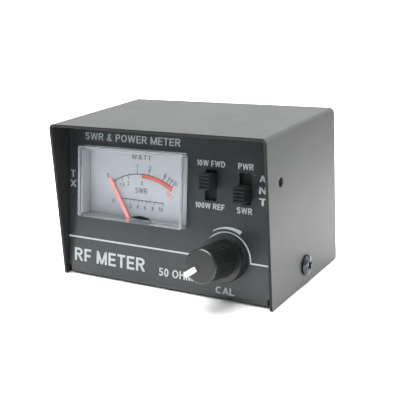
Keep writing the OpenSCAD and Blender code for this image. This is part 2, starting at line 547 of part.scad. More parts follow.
// insulated wire of radius r swept along the points p
module wire(p, r) polyhedron(
  points = [for (i = [0:len(p) - 1]) each ring_at(p, i, r)],
  faces = concat([[for (k = [0:7]) 7 - k]], [[for (k = [0:7]) 8 * (len(p) - 1) + k]],
    [for (i = [0:len(p) - 2], k = [0:7]) each [
      [8 * i + k, 8 * i + (k + 1) % 8, 8 * (i + 1) + (k + 1) % 8],
      [8 * i + k, 8 * (i + 1) + (k + 1) % 8, 8 * (i + 1) + k]]]));
module hookup_wires() color([0.5, 0.12, 0.1]) {
  wire([[-27.1, 5.7, 32.8], [-27, 9, 33], [-31, 11, 41], [-34, cb_y - 0.6, 33]], 0.55);
  wire([[0.9, 5.7, 32.8], [3, 9, 36], [12, 6, 50], [20, -8, 50], [20, -11.1, 50.6]], 0.55);
  wire([[34, cb_y - 0.6, 17], [36, 12, 20], [39, 4, 34], [39, -12, 38], [39, -13.05, 38.4]], 0.55);
  wire([[29, -23.6, 4.6], [29, -19, 4.8], [24, 2, 6], [20, cb_y - 0.6, 16]], 0.55);
}

cover();
chassis();
cover_screws();
meter_window();
meter_case();
scale_plate();
scale_screws();
movement_frame();
yoke_ring();
magnet_core();
core_webs();
front_bridge();
jewel_screws();
hairsprings();
pointer_stops();
moving_coil();
pivot_staffs();
pointer();
balance_weights();
meter_terminals();
panel_studs();
stud_nuts();
control_board();
range_switch_can();
range_switch_base();
range_switch_contacts();
range_slider();
range_clips();
function_switch_can();
function_switch_base();
function_switch_contacts();
function_slider();
function_clips();
pot_housing();
pot_wafer();
pot_terminals();
pot_bushing();
pot_washer();
pot_nut();
pot_shaft();
pot_wiper();
cal_knob();
knob_line();
tx_socket();
tx_insulator();
tx_contact();
ant_socket();
ant_insulator();
ant_contact();
socket_screws();
socket_nuts();
coupler_board();
coupler_lines();
detector_diodes();
coupler_resistors();
coupler_capacitors();
trimmers();
hookup_wires();
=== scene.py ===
import json
import math

import bmesh
import bpy
from mathutils import Matrix, Vector
from mathutils.geometry import tessellate_polygon


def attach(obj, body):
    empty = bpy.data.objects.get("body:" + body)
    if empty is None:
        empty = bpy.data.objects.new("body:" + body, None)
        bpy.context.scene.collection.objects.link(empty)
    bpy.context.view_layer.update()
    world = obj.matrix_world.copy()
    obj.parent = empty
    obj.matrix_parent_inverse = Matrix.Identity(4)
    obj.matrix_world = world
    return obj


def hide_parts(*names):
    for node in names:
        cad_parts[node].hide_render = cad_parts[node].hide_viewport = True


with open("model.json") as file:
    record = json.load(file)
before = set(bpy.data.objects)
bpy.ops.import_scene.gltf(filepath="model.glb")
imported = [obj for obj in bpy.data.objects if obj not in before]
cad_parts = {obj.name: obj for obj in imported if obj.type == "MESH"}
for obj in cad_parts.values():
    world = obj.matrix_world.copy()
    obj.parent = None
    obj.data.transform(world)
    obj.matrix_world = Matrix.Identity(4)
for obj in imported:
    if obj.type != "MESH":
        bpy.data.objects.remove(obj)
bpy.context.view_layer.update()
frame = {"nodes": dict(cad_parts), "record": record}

scene = bpy.context.scene
MM = 0.001

# ---------------------------------------------------------------- panel frame
TILT = math.radians(9.24)
ST, CT = math.sin(TILT), math.cos(TILT)
PLATE = -3.5            # face of the scale plate, mm behind the panel's face
PIVOT = (-13.1, 17.65)


def pan(x, s, o=0.0):
    """A point on the sloping front: x across, s up the panel, o out of it, in mm."""
    return Vector((x, -29.24 + s * ST - o * CT, s * CT + o * ST)) * MM


# ---------------------------------------------------------------- materials
def srgb(r, g, b):
    def f(c):
        c /= 255.0
        return c / 12.92 if c <= 0.04045 else ((c + 0.055) / 1.055) ** 2.4
    return (f(r), f(g), f(b), 1.0)


def rgba(c):
    return (c[0], c[1], c[2], 1.0)


class Mat:
    """A Principled material with Object-space patterns."""

    def __init__(self, name, metallic=0.0, specular=0.5, ior=1.5, coat=0.0, coat_rough=0.1,
                 transmission=0.0, sheen=0.0, aniso=0.0):
        self.m = bpy.data.materials.new(name)
        self.m.use_nodes = True
        self.t = self.m.node_tree
        self.n = self.t.nodes
        self.l = self.t.links
        self.n.clear()
        self.out = self.n.new("ShaderNodeOutputMaterial")
        self.p = self.n.new("ShaderNodeBsdfPrincipled")
        self.l.new(self.p.outputs[0], self.out.inputs[0])
        self.p.inputs["Metallic"].default_value = metallic
        self.p.inputs["Specular IOR Level"].default_value = specular
        self.p.inputs["IOR"].default_value = ior
        self.p.inputs["Coat Weight"].default_value = coat
        self.p.inputs["Coat Roughness"].default_value = coat_rough
        self.p.inputs["Transmission Weight"].default_value = transmission
        self.p.inputs["Sheen Weight"].default_value = sheen
        self.p.inputs["Anisotropic"].default_value = aniso
        self.tc = self.n.new("ShaderNodeTexCoord")
        self.normal = None

    def coords(self, scale=(1, 1, 1), rot=(0, 0, 0)):
        mp = self.n.new("ShaderNodeMapping")
        mp.inputs["Scale"].default_value = scale
        mp.inputs["Rotation"].default_value = rot
        self.l.new(self.tc.outputs["Object"], mp.inputs["Vector"])
        return mp.outputs[0]

    def noise(self, scale, detail=3.0, rough=0.55, stretch=(1, 1, 1), rot=(0, 0, 0), distort=0.0):
        nz = self.n.new("ShaderNodeTexNoise")
        nz.inputs["Scale"].default_value = scale
        nz.inputs["Detail"].default_value = detail
        nz.inputs["Roughness"].default_value = rough
        nz.inputs["Distortion"].default_value = distort
        self.l.new(self.coords(stretch, rot), nz.inputs["Vector"])
        return nz.outputs[0]

    def cells(self, scale, stretch=(1, 1, 1), feature="F1"):
        v = self.n.new("ShaderNodeTexVoronoi")
        v.feature = feature
        v.inputs["Scale"].default_value = scale
        self.l.new(self.coords(stretch), v.inputs["Vector"])
        return v.outputs["Distance"]

    def ramp(self, fac, stops):
        r = self.n.new("ShaderNodeValToRGB")
        e = r.color_ramp.elements
        e[0].position, e[0].color = stops[0][0], rgba(stops[0][1])
        e[1].position, e[1].color = stops[-1][0], rgba(stops[-1][1])
        for pos, col in stops[1:-1]:
            x = e.new(pos)
            x.color = rgba(col)
        self.l.new(fac, r.inputs[0])
        return r.outputs[0]

    def remap(self, fac, a, b, lo=0.3, hi=0.7):
        r = self.n.new("ShaderNodeMapRange")
        r.inputs["From Min"].default_value = lo
        r.inputs["From Max"].default_value = hi
        r.inputs["To Min"].default_value = a
        r.inputs["To Max"].default_value = b
        self.l.new(fac, r.inputs["Value"])
        return r.outputs[0]

    def mix(self, fac, a, b):
        m = self.n.new("ShaderNodeMix")
        m.data_type = "RGBA"
        if hasattr(fac, "node"):
            self.l.new(fac, m.inputs[0])
        else:
            m.inputs[0].default_value = fac
        for v, sock in ((a, m.inputs[6]), (b, m.inputs[7])):
            if hasattr(v, "node"):
                self.l.new(v, sock)
            else:
                sock.default_value = rgba(v)
        return m.outputs[2]

    def math(self, op, a, b):
        m = self.n.new("ShaderNodeMath")
        m.operation = op
        for v, sock in ((a, m.inputs[0]), (b, m.inputs[1])):
            if hasattr(v, "node"):
                self.l.new(v, sock)
            else:
                sock.default_value = v
        return m.outputs[0]

    def color(self, sock):
        self.l.new(sock, self.p.inputs["Base Color"])
        return self

    def rough(self, sock):
        self.l.new(sock, self.p.inputs["Roughness"])
        return self

    def bump(self, height, strength, dist_mm):
        b = self.n.new("ShaderNodeBump")
        b.inputs["Strength"].default_value = strength
        b.inputs["Distance"].default_value = dist_mm * MM
        self.l.new(height, b.inputs["Height"])
        if self.normal is not None:
            self.l.new(self.normal, b.inputs["Normal"])
        self.normal = b.outputs[0]
        self.l.new(self.normal, self.p.inputs["Normal"])
        return self


def shade(c, k):
    return tuple(min(1.0, v * k) for v in c[:3])


def powder(name, base, r0, r1, grain=2600, strength=0.35, edge=None):
    """Baked powder coat: fine orange-peel grain, faint mottling, light handling marks.
    edge: everything in front of this y, the front edge of the sheet, is painted far darker as painted shade and made
    duller."""
    m = Mat(name, specular=0.5, ior=1.5)
    tone = m.ramp(m.noise(55, 4), [(0.3, shade(base, 0.86)), (0.5, base), (0.72, shade(base, 1.16))])
    speck = m.remap(m.noise(grain * 0.9, 2), 0.0, 1.0, 0.62, 0.78)
    tone = m.mix(speck, tone, shade(base, 1.7))
    marks = m.noise(420, 4, 0.6)
    blotch = m.noise(30, 2)
    rough = m.math("ADD", m.remap(blotch, r0, r1), m.remap(marks, -0.015, 0.02))
    if edge is not None:
        at = m.n.new("ShaderNodeSeparateXYZ")
        m.l.new(m.tc.outputs["Object"], at.inputs[0])
        # painted shade: the front edge of the sheet is coloured far darker than the coat
        cut = m.remap(at.outputs[1], 1.0, 0.0, edge - 0.00004, edge)
        tone = m.mix(cut, tone, shade(base, 0.12))
        # painted shade: the inner side walls and the underside of the top, inside the fold, are coloured darker
        side = m.remap(m.math("ABSOLUTE", at.outputs[0], 0.0), 1.0, 0.0, 0.0490, 0.0495)
        top = m.remap(at.outputs[2], 1.0, 0.0, 0.0643, 0.0648)
        tone = m.mix(m.math("MINIMUM", side, top), tone, shade(base, 0.42))
        rough = m.math("ADD", rough, m.math("MULTIPLY", cut, 0.45))
    m.color(tone)
    m.rough(rough)
    m.bump(m.noise(520, 2), strength * 0.5, 0.03)
    m.bump(m.noise(grain, 2, 0.5), strength, 0.02)
    return m.m


def moulded(name, base, r0, r1, grain=3200, strength=0.18, coat=0.0, specular=0.5):
    m = Mat(name, coat=coat, coat_rough=0.25, specular=specular)
    m.color(m.ramp(m.noise(90, 4), [(0.3, shade(base, 0.88)), (0.7, shade(base, 1.14))]))
    wear = m.noise(600, 4, 0.6, stretch=(1, 1, 0.3), rot=(0.4, 0.1, 0.8))
    m.rough(m.math("ADD", m.remap(m.noise(120, 3), r0, r1), m.remap(wear, -0.03, 0.05)))
    m.bump(m.noise(grain, 3, 0.6), strength, 0.02)
    return m.m


def metal(name, base, r0, r1, stretch=(1, 1, 1), line=900, strength=0.12, tarnish=0.12):
    m = Mat(name, metallic=1.0)
    stain = m.noise(150, 5, 0.6)
    m.color(m.ramp(stain, [(0.28, shade(base, 1.0 - tarnish)), (0.5, base), (0.75, shade(base, 1.05))]))
    lines = m.noise(line, 3, 0.6, stretch=stretch)
    m.rough(m.math("ADD", m.remap(lines, r0, r1), m.remap(stain, 0.04, -0.03)))
    m.bump(lines, strength, 0.012)
    return m.m


def glossy(name, base, r0, r1):
    """Smooth moulded plastic with a soft shine and hardly any grain."""
    m = Mat(name, specular=0.6)
    m.color(m.ramp(m.noise(60, 3), [(0.3, shade(base, 0.94)), (0.7, shade(base, 1.06))]))
    m.rough(m.remap(m.noise(80, 2), r0, r1))
    m.bump(m.noise(900, 2), 0.04, 0.01)
    return m.m


def ink(name, base, rough=0.45):
    m = Mat(name)
    m.color(m.ramp(m.noise(900, 4), [(0.3, shade(base, 0.9)), (0.65, shade(base, 1.04))]))
    m.rough(m.remap(m.noise(700, 3), rough - 0.06, rough + 0.08))
    m.bump(m.noise(2600, 2), 0.2, 0.012)
    return m.m


def clear(name):
    """Clear moulding: polished front; the side walls are painted light grey and made less clear, painted light
    standing in for the light the clear walls carry.
    """
    m = Mat(name, transmission=1.0, ior=1.47, specular=0.5)
    film = m.ramp(m.noise(60, 4), [(0.3, (0.95, 0.97, 0.98)), (0.7, (0.985, 0.992, 1.0))])
    at = m.n.new("ShaderNodeSeparateXYZ")
    m.l.new(m.tc.outputs["Object"], at.inputs[0])
    slope = m.n.new("ShaderNodeVectorMath")
    slope.operation = "DOT_PRODUCT"
    slope.inputs[1].default_value = (0.0, ST, CT)
    m.l.new(m.tc.outputs["Object"], slope.inputs[0])
    up = slope.outputs["Value"]
    w = 1.05
    left = m.remap(at.outputs[0], 1.0, 0.0, (-41.5 + w) * MM, (-41.5 + w + 0.1) * MM)
    right_ = m.remap(at.outputs[0], 0.0, 1.0, (10.3 - w - 0.1) * MM, (10.3 - w) * MM)
    low = m.remap(up, 1.0, 0.0, (25.95 + w - 29.24 * ST) * MM, (25.95 + w + 0.1 - 29.24 * ST) * MM)
    high = m.remap(up, 0.0, 1.0, (55.5 - w - 0.1 - 29.24 * ST) * MM, (55.5 - w - 29.24 * ST) * MM)
    low = m.math("MULTIPLY", low, 0.3)
    high = m.math("MULTIPLY", high, 0.75)
    wall = m.math("MAXIMUM", m.math("MAXIMUM", left, right_), m.math("MAXIMUM", low, high))
    # painted light: the side walls are coloured light grey, more on the top wall than on the bottom one
    painted_wall_light = m.math("MULTIPLY", wall, m.remap(m.noise(180, 3), 0.85, 1.0))
    m.color(m.mix(painted_wall_light, film, (0.64, 0.67, 0.72)))
    m.l.new(m.remap(painted_wall_light, 1.0, 0.72, 0.0, 1.0), m.p.inputs["Transmission Weight"])
    m.rough(m.remap(m.noise(260, 4, 0.6), 0.015, 0.06))
    m.bump(m.noise(130, 2), 0.05, 0.02)
    return m.m


def dial_white(name):
    m = Mat(name)
    tone = m.ramp(m.noise(70, 4), [(0.3, (0.425, 0.45, 0.485)), (0.7, (0.465, 0.49, 0.525))])
    # painted shade: the dial is coloured darker towards its lower left
    g = m.n.new("ShaderNodeVectorMath")
    g.operation = "DOT_PRODUCT"
    g.inputs[1].default_value = (0.2, 0.0, 1.0)
    m.l.new(m.tc.outputs["Object"], g.inputs[0])
    painted_dial_shade = m.math("MULTIPLY", m.remap(g.outputs["Value"], 1.0, 0.0, 0.017, 0.036), m.remap(m.noise(40, 3), 0.85, 1.0))
    m.color(m.mix(painted_dial_shade, tone, (0.13, 0.133, 0.155)))
    m.rough(m.remap(m.noise(300, 3), 0.5, 0.62))
    m.bump(m.noise(2400, 2), 0.15, 0.01)
    return m.m


def wound(name, base):
    """Enamelled wire laid side by side."""
    m = Mat(name, metallic=0.6, coat=0.5, coat_rough=0.15)
    w = m.n.new("ShaderNodeTexWave")
    w.inputs["Scale"].default_value = 2600
    w.inputs["Distortion"].default_value = 0.3
    m.l.new(m.coords(), w.inputs["Vector"])
    m.color(m.ramp(w.outputs[1], [(0.1, shade(base, 0.5)), (0.7, base)]))
    m.rough(m.remap(m.noise(400, 3), 0.28, 0.42))
    m.bump(w.outputs[1], 0.4, 0.03)
    return m.m


def laminate(name, base, weave=1400):
    m = Mat(name, specular=0.45)
    a = m.noise(weave, 3, 0.6, stretch=(1, 0.12, 0.12))
    b = m.noise(weave, 3, 0.6, stretch=(0.12, 1, 0.12))
    w = m.math("ADD", a, b)
    m.color(m.ramp(m.math("MULTIPLY", w, 0.5), [(0.35, shade(base, 0.85)), (0.65, shade(base, 1.15))]))
    m.rough(m.remap(m.noise(200, 3), 0.35, 0.5))
    m.bump(w, 0.15, 0.02)
    return m.m


MATS = {
    "case_paint": powder("case_paint", (0.0465, 0.0500, 0.0465), 0.36, 0.41, edge=-0.03042),
    "panel_paint": powder("panel_paint", (0.022, 0.0255, 0.028), 0.295, 0.33),
    "black_zinc": metal("black_zinc", (0.06, 0.065, 0.075), 0.13, 0.2, line=700),
    "clear": clear("clear"),
    "case_plastic": moulded("case_plastic", (0.36, 0.37, 0.38), 0.4, 0.55),
    "dial": dial_white("dial"),
    "zinc": metal("zinc", (0.66, 0.64, 0.58), 0.25, 0.42, line=1500),
    "soft_iron": metal("soft_iron", (0.30, 0.31, 0.32), 0.35, 0.5, line=1200),
    "cast_frame": metal("cast_frame", (0.60, 0.60, 0.61), 0.4, 0.55, line=2200, strength=0.25),
    "brass": metal("brass", (0.72, 0.54, 0.24), 0.2, 0.36, line=1800),
    "bronze": metal("bronze", (0.70, 0.44, 0.24), 0.25, 0.4, line=1600),
    "copper": wound("copper", (0.70, 0.36, 0.20)),
    "bridge_black": moulded("bridge_black", (0.05, 0.05, 0.055), 0.35, 0.5),
    "bright_steel": metal("bright_steel", (0.75, 0.76, 0.78), 0.12, 0.24, line=1800),
    "needle_red": ink("needle_red", (0.84, 0.29, 0.245), 0.42),
    "phenolic": laminate("phenolic", (0.30, 0.17, 0.08)),
    "tinned": metal("tinned", (0.74, 0.75, 0.76), 0.26, 0.44, line=500, strength=0.2),
    "black_plastic": moulded("black_plastic", (0.020, 0.021, 0.022), 0.38, 0.5, specular=0.15),
    "knob_plastic": glossy("knob_plastic", (0.005, 0.0062, 0.006), 0.28, 0.31),
    "white_ink": ink("white_ink", (0.82, 0.83, 0.72), 0.4),
    "nickel": metal("nickel", (0.30, 0.295, 0.285), 0.28, 0.36, stretch=(1, 0.04, 1), line=1100, strength=0.05),
    "ptfe": moulded("ptfe", (0.86, 0.85, 0.81), 0.32, 0.42, strength=0.06),
    "board_green": laminate("board_green", (0.05, 0.20, 0.09)),
    "board_tan": laminate("board_tan", (0.45, 0.34, 0.17)),
    "glass_diode": moulded("glass_diode", (0.62, 0.28, 0.14), 0.12, 0.2, coat=0.8),
    "resistor_body": moulded("resistor_body", (0.42, 0.56, 0.68), 0.25, 0.35, coat=0.4),
    "capacitor_body": moulded("capacitor_body", (0.68, 0.34, 0.10), 0.3, 0.42, coat=0.4),
    "trimmer_blue": moulded("trimmer_blue", (0.08, 0.18, 0.48), 0.28, 0.38),
    "wire_red": moulded("wire_red", (0.5, 0.05, 0.04), 0.3, 0.42),
}
PRINT = ink("panel_print", (0.40, 0.435, 0.445), 0.5)
# painted shade: a darker copy of the panel print, for the title and TX lettering that sit in shade
PRINT_SHADED = ink("panel_print_shaded", (0.30, 0.33, 0.34), 0.5)
DIAL_BLACK = ink("dial_black", (0.045, 0.05, 0.055), 0.5)
DIAL_RED = ink("dial_red", (0.72, 0.13, 0.09), 0.5)

# ---------------------------------------------------------------- modifiers
def smooth_group():
    g = bpy.data.node_groups.new("smooth_by_angle", "GeometryNodeTree")
    g.interface.new_socket("Geometry", in_out="INPUT", socket_type="NodeSocketGeometry")
    g.interface.new_socket("Geometry", in_out="OUTPUT", socket_type="NodeSocketGeometry")
    gi, go = g.nodes.new("NodeGroupInput"), g.nodes.new("NodeGroupOutput")
    ang = g.nodes.new("GeometryNodeInputMeshEdgeAngle")
    cmp = g.nodes.new("FunctionNodeCompare")
    cmp.data_type = "FLOAT"
    cmp.operation = "LESS_EQUAL"
    cmp.inputs[1].default_value = math.radians(38)
    faces = g.nodes.new("GeometryNodeSetShadeSmooth")
    faces.domain = "FACE"
    edges = g.nodes.new("GeometryNodeSetShadeSmooth")
    edges.domain = "EDGE"
    g.links.new(ang.outputs[0], cmp.inputs[0])
    g.links.new(gi.outputs[0], faces.inputs[0])
    g.links.new(faces.outputs[0], edges.inputs[0])
    g.links.new(cmp.outputs[0], edges.inputs["Shade Smooth"])
    g.links.new(edges.outputs[0], go.inputs[0])
    return g


SMOOTH = smooth_group()
BEVELS = {  # node: (width in mm, segments)
    "cover": (0.13, 2), "chassis": (0.15, 2), "cover_screws": (0.10, 2), "meter_window": (0.22, 3),
    "range_slider": (0.14, 2), "function_slider": (0.14, 2), "cal_knob": (0.12, 2),
    "knob_line": (0.05, 1), "tx_socket": (0.15, 2), "ant_socket": (0.15, 2),
    "socket_screws": (0.1, 2), "tx_insulator": (0.15, 2), "ant_insulator": (0.15, 2),
    "tx_contact": (0.1, 2), "ant_contact": (0.1, 2), "scale_screws": (0.08, 1),
    "range_switch_can": (0.12, 1), "function_switch_can": (0.12, 1), "pot_nut": (0.15, 1),
    "socket_nuts": (0.15, 1), "stud_nuts": (0.15, 1),
}


def finish_mesh(ob, bevel=None):
    w = ob.modifiers.new("weld", "WELD")
    w.merge_threshold = 1e-6
    if bevel:
        b = ob.modifiers.new("bevel", "BEVEL")
        b.width = bevel[0] * MM
        b.segments = bevel[1]
        b.limit_method = "ANGLE"
        b.angle_limit = math.radians(40)
        b.use_clamp_overlap = True
        b.miter_outer = "MITER_SHARP"
    g = ob.modifiers.new("smooth", "NODES")
    g.node_group = SMOOTH
    n = ob.modifiers.new("weighted", "WEIGHTED_NORMAL")
    n.keep_sharp = True
    n.weight = 50


slot_of = {p["node"]: p["material_slot"] for p in frame["record"]["subparts"]}
for name, ob in frame["nodes"].items():
    ob.data.materials.clear()
    ob.data.materials.append(MATS[slot_of[name]])
    finish_mesh(ob, BEVELS.get(name))


# ---------------------------------------------------------------- builders
def add_mesh(name, verts, faces, material, body, smooth=False):
    me = bpy.data.meshes.new(name)
    me.from_pydata([tuple(v) for v in verts], [], faces)
    me.validate()
    me.materials.append(material)
    ob = bpy.data.objects.new(name, me)
    scene.collection.objects.link(ob)
    for p in me.polygons:
        p.use_smooth = smooth
    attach(ob, body)
    return ob


def band(name, outer, inner, o, depth, material, body="case", slot="panel_paint", low=0.02):
    """A closed thin strip between two runs of (x, s) points, on the surface at height o."""
    n = len(outer)
    verts = []
    for h in (o - low, o + depth):
        verts += [pan(x, s, h) for x, s in outer]
        verts += [pan(x, s, h) for x, s in inner]
    a, b, c, d = 0, n, 2 * n, 3 * n   # outer low, inner low, outer high, inner high
    faces = []
    for i in range(n - 1):
        faces.append((c + i, d + i, d + i + 1, c + i + 1))
        faces.append((a + i, a + i + 1, b + i + 1, b + i))
        faces.append((a + i, c + i, c + i + 1, a + i + 1))
        faces.append((b + i, b + i + 1, d + i + 1, d + i))
    faces.append((a, b, d, c))
    faces.append((a + n - 1, c + n - 1, d + n - 1, b + n - 1))
    ob = add_mesh(name, verts, faces, material, body)
    bm = bmesh.new()
    bm.from_mesh(ob.data)
    bmesh.ops.recalc_face_normals(bm, faces=bm.faces)
    bm.to_mesh(ob.data)
    bm.free()
    return ob


def ring(cx, cs, r, a0, a1, n):
    return [(cx + r * math.cos(math.radians(a0 + (a1 - a0) * i / n)),
             cs + r * math.sin(math.radians(a0 + (a1 - a0) * i / n))) for i in range(n + 1)]


def arc(name, cx, cs, r, width, a0, a1, o, depth, material, n=64, **kw):
    return band(name, ring(cx, cs, r + width / 2, a0, a1, n), ring(cx, cs, r - width / 2, a0, a1, n),
                o, depth, material, **kw)


def line(name, x0, s0, x1, s1, width, o, depth, material, **kw):
    dx, ds = x1 - x0, s1 - s0
    l = math.hypot(dx, ds)
    nx, ns = -ds / l * width / 2, dx / l * width / 2
    return band(name, [(x0 + nx, s0 + ns), (x1 + nx, s1 + ns)], [(x0 - nx, s0 - ns), (x1 - nx, s1 - ns)],
                o, depth, material, **kw)


# Block capitals and figures drawn from bars, slanted bars and parts of rings, on a cell one high.
# "b" x0 y0 x1 y1: upright bar. "d" x0 y0 x1 y1: bar whose ends are level, centred on x0 and x1.
# "r" cx cy rx ry a0 a1: part of a ring, rx and ry its outer radii, angles in degrees.
def glyphs(w):
    h = w / 2
    return {
        "A": (0.74, [("d", h * 1.1, 0, 0.37, 1), ("d", 0.74 - h * 1.1, 0, 0.37, 1), ("b", 0.17, 0.2, 0.57, 0.2 + w * 0.9)]),
        "C": (0.72, [("r", 0.37, 0.5, 0.37, 0.5, 48, 312)]),
        "D": (0.70, [("b", 0, 0, w, 1), ("b", w * 0.9, 0, 0.3, w), ("b", w * 0.9, 1 - w, 0.3, 1), ("r", 0.29, 0.5, 0.41, 0.5, -90, 90)]),
        "E": (0.60, [("b", 0, 0, w, 1), ("b", w * 0.9, 0, 0.60, w), ("b", w * 0.9, 0.5 - h, 0.55, 0.5 + h), ("b", w * 0.9, 1 - w, 0.59, 1)]),
        "F": (0.56, [("b", 0, 0, w, 1), ("b", w * 0.9, 0.46 - h, 0.50, 0.46 + h), ("b", w * 0.9, 1 - w, 0.56, 1)]),
        "H": (0.68, [("b", 0, 0, w, 1), ("b", 0.68 - w, 0, 0.68, 1), ("b", w * 0.9, 0.52 - h, 0.68 - w * 0.9, 0.52 + h)]),
        "L": (0.56, [("b", 0, 0, w, 1), ("b", w * 0.9, 0, 0.56, w)]),
        "M": (0.84, [("b", 0, 0, w, 1), ("b", 0.84 - w, 0, 0.84, 1), ("d", h, 1, 0.42, 0, 0.95), ("d", 0.84 - h, 1, 0.42, 0, 0.95)]),
        "N": (0.70, [("b", 0, 0, w, 1), ("b", 0.70 - w, 0, 0.70, 1), ("d", h, 1, 0.70 - h, 0)]),
        "O": (0.78, [("r", 0.39, 0.5, 0.39, 0.5, 0, 360)]),
        "P": (0.63, [("b", 0, 0, w, 1), ("b", w * 0.9, 1 - w, 0.36, 1), ("b", w * 0.9, 0.40, 0.36, 0.40 + w), ("r", 0.34, 0.70, 0.29, 0.30, -90, 90)]),
        "R": (0.69, [("b", 0, 0, w, 1), ("b", w * 0.9, 1 - w, 0.38, 1), ("b", w * 0.9, 0.42, 0.38, 0.42 + w), ("r", 0.37, 0.71, 0.29, 0.29, -90, 90), ("d", 0.34, 0.48, 0.69 - h * 0.9, 0)]),
        "S": (0.64, [("r", 0.32, 0.725, 0.31, 0.275, 22, 270), ("r", 0.32, (0.45 + w) / 2, 0.32, (0.45 + w) / 2, -158, 90)]),
        "T": (0.62, [("b", 0.31 - h, 0, 0.31 + h, 1), ("b", 0, 1 - w, 0.31 - h * 0.9, 1), ("b", 0.31 + h * 0.9, 1 - w, 0.62, 1)]),
        "W": (1.02, [("d", h, 1, 0.27, 0, 0.9), ("d", 0.51, 1, 0.27, 0, 0.9), ("d", 0.51, 1, 0.75, 0, 0.9), ("d", 1.02 - h, 1, 0.75, 0, 0.9)]),
        "X": (0.70, [("d", h, 0, 0.70 - h, 1), ("d", 0.70 - h, 0, h, 1)]),
        "&": (0.76, [("r", 0.34, 0.77, 0.20, 0.23, -40, 250), ("r", 0.29, 0.27, 0.29, 0.27, 75, 345), ("d", 0.20, 0.72, 0.66, 0), ]),
        "0": (0.56, [("r", 0.28, 0.5, 0.28, 0.5, 0, 360)]),
        "1": (0.34, [("b", 0.34 - w, 0, 0.34, 1), ("d", 0.06, 0.70, 0.27, 0.98, 0.8)]),
        "2": (0.56, [("r", 0.28, 0.71, 0.28, 0.29, -38, 165), ("d", 0.10, w * 0.8, 0.46, 0.56), ("b", 0, 0, 0.56, w)]),
        "3": (0.56, [("r", 0.27, 0.725, 0.26, 0.275, -90, 160), ("r", 0.27, 0.29, 0.29, 0.29, -160, 90)]),
        "4": (0.60, [("b", 0.50 - w, 0, 0.50, 1), ("b", 0, 0.22, 0.60, 0.22 + w), ("d", 0.07, 0.26, 0.42, 0.98)]),
        "5": (0.57, [("r", 0.27, 0.32, 0.29, 0.32, -155, 132), ("b", 0.08, 0.5, 0.08 + w, 1), ("b", 0.08, 1 - w, 0.53, 1)]),
        "6": (0.57, [("r", 0.285, 0.31, 0.285, 0.31, 0, 360), ("r", 0.36, 0.42, 0.36, 0.58, 80, 190)]),
        "8": (0.57, [("r", 0.285, 0.735, 0.25, 0.265, 0, 360), ("r", 0.285, 0.285, 0.285, 0.285, 0, 360)]),
        ".": (0.16, [("b", 0, 0, 0.16, 0.16)]),
    }


def outline(part, w):
    """The closed outline, or the pair of runs of a ring, for one part of a glyph."""
    if part[0] == "b":
        _, x0, y0, x1, y1 = part
        return [(x0, y1), (x1, y1)], [(x0, y0), (x1, y0)]
    if part[0] == "d":
        x0, y0, x1, y1 = part[1:5]
        k = part[5] if len(part) > 5 else 1.0
        l = math.hypot(x1 - x0, y1 - y0)
        half = w * k / 2 * l / abs(y1 - y0)
        half = min(half, w * 0.95)
        return [(x0 - half, y0), (x1 - half, y1)], [(x0 + half, y0), (x1 + half, y1)]
    _, cx, cy, rx, ry, a0, a1 = part
    n = max(6, int(abs(a1 - a0) / 15))
    out, inn = [], []
    for i in range(n + 1):
        a = math.radians(a0 + (a1 - a0) * i / n)
        out.append((cx + rx * math.cos(a), cy + ry * math.sin(a)))
        inn.append((cx + (rx - w) * math.cos(a), cy + (ry - w) * math.sin(a)))
    return out, inn


def label(name, words, box, o, depth, material, body="case", slot="panel_paint", weight=0.17,
          spin=0.0, low=0.02, gap=0.13):
    """Printed words filling box = (x0, s0, x1, s1), turned by spin degrees about its middle."""
    table = glyphs(weight)
    parts, x = [], 0.0
    for ch in words:
        if ch == " ":
            x += 0.34
            continue
        wide, ps = table[ch]
        parts += [(x, p) for p in ps]
        x += wide + gap
    total = x - gap
    x0, s0, x1, s1 = box
    mx, ms = (x0 + x1) / 2, (s0 + s1) / 2
    c, n_ = math.cos(math.radians(spin)), math.sin(math.radians(spin))

    def place(u, v, h):
        px, ps_ = (u / total - 0.5) * (x1 - x0), (v - 0.5) * (s1 - s0)
        return pan(mx + px * c - ps_ * n_, ms + px * n_ + ps_ * c, h)

    verts, faces = [], []
    for dx, part in parts:
        out, inn = outline(part, weight)
        closed = part[0] == "r" and abs(part[6] - part[5]) >= 360
        if closed:
            out, inn = out[:-1], inn[:-1]
        n = len(out)
        k = len(verts)
        for h in (o - low, o + depth):
            verts += [place(u + dx, v, h) for u, v in out]
            verts += [place(u + dx, v, h) for u, v in inn]
        a, b, cc, d = k, k + n, k + 2 * n, k + 3 * n
        for i in range(n if closed else n - 1):
            j = (i + 1) % n
            faces += [(cc + i, d + i, d + j, cc + j), (a + i, a + j, b + j, b + i),
                      (a + i, cc + i, cc + j, a + j), (b + i, b + j, d + j, d + i)]
        if not closed:
            faces += [(a, b, d, cc), (a + n - 1, cc + n - 1, d + n - 1, b + n - 1)]
    ob = add_mesh(name, verts, faces, material, body)
    bm = bmesh.new()
    bm.from_mesh(ob.data)
    bmesh.ops.recalc_face_normals(bm, faces=bm.faces)
    bm.to_mesh(ob.data)
    bm.free()
    return ob


